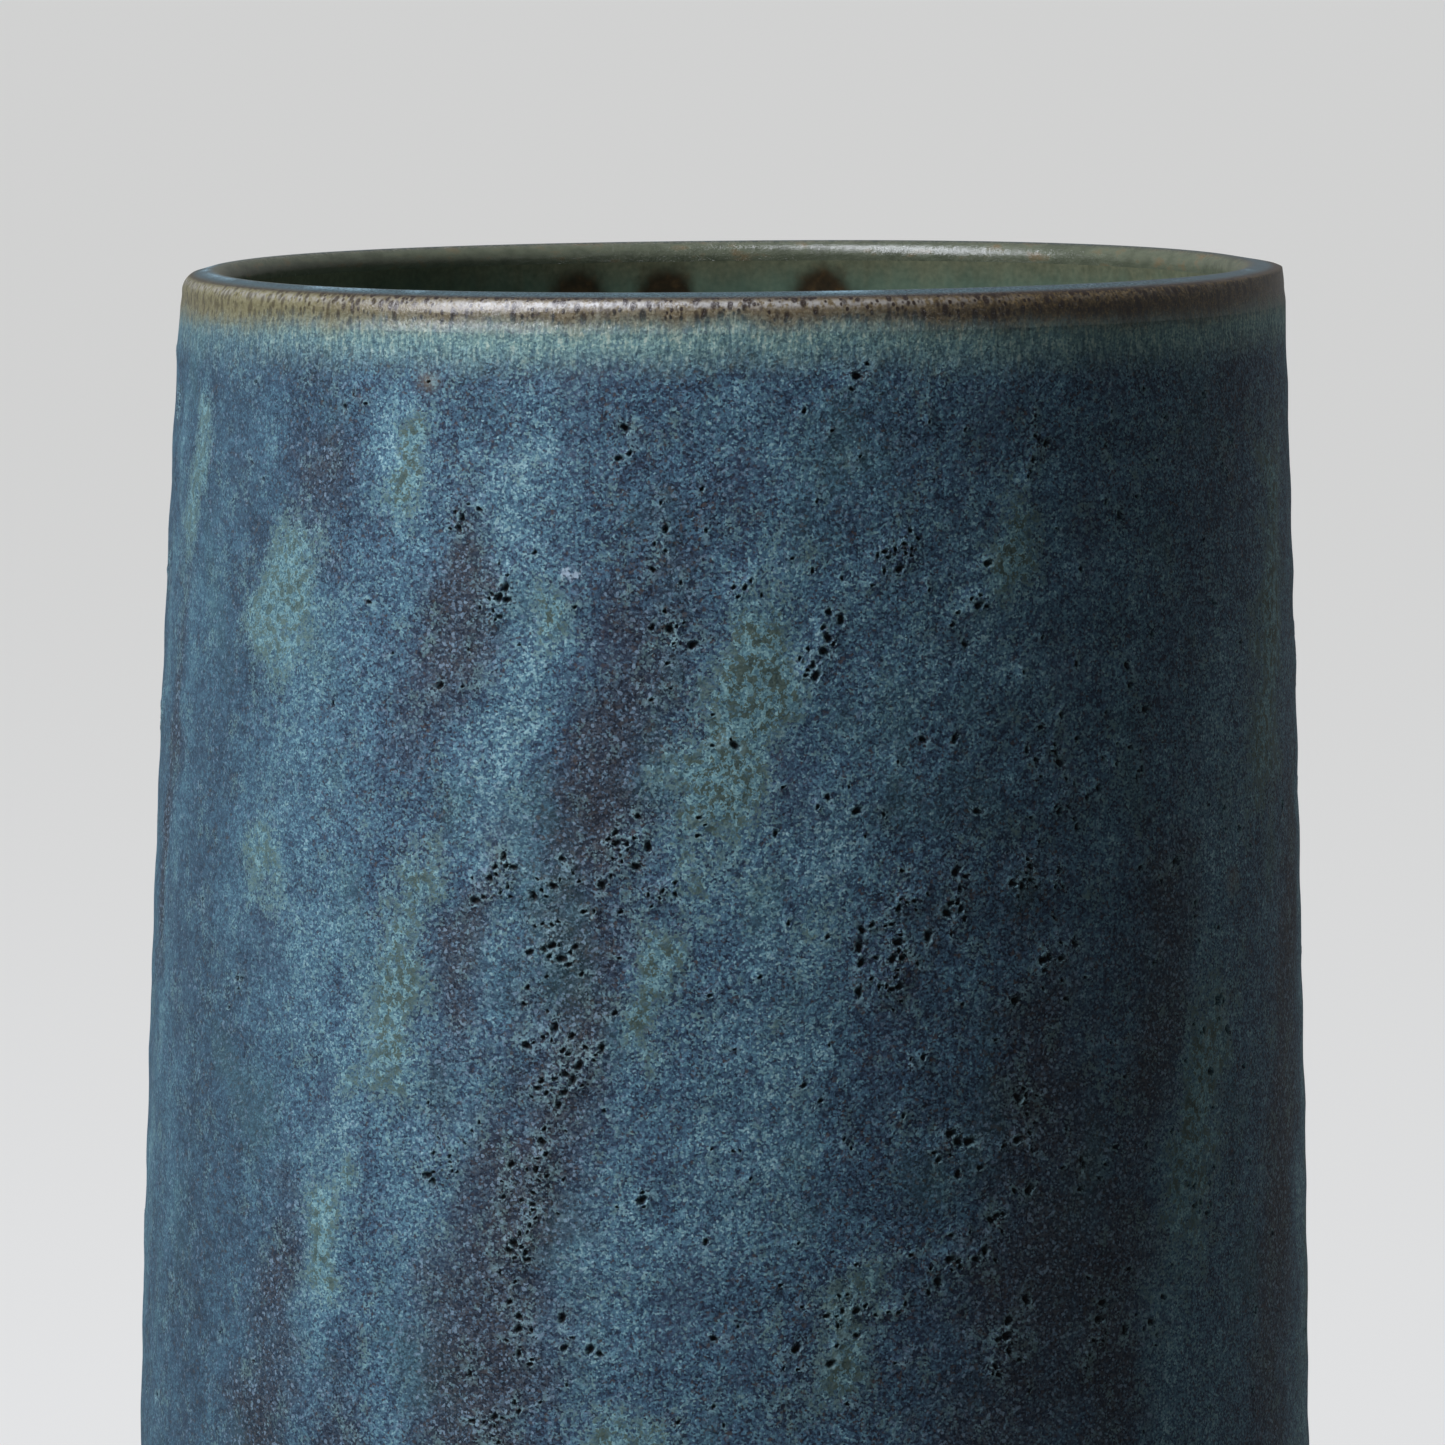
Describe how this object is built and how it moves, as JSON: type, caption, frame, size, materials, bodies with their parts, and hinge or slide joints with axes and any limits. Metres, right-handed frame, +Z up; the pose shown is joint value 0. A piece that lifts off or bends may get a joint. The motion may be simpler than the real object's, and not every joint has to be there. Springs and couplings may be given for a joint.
{
  "type": "stoneware vase",
  "caption": "Tall gently tapered stoneware vase with a thin brown lip, a mottled blue satin glaze with pale runs outside, a green liner inside and a turned bare clay foot ring.",
  "frame": {"origin": "centre of the foot ring's standing face", "axes": "+Z up along the vase's axis, -Y towards the front that the picture shows, +X to the right in it"},
  "size_m": [0.114, 0.114, 0.205],
  "materials": {
    "bare_clay": "matt fired stoneware",
    "blue_glaze": "satin, pitted",
    "pale_glaze": "satin",
    "brown_glaze": "thin semi-gloss",
    "green_glaze": "gloss",
    "iron_brown": "gloss"
  },
  "bodies": {
    "root": {"clay_wall": "bare_clay", "clay_base": "bare_clay", "foot_ring": "bare_clay", "outer_glaze": "blue_glaze", "glaze_runs": "pale_glaze", "lip_glaze": "brown_glaze", "liner_glaze": "green_glaze", "iron_spots": "iron_brown"}
  },
  "joints": []
}
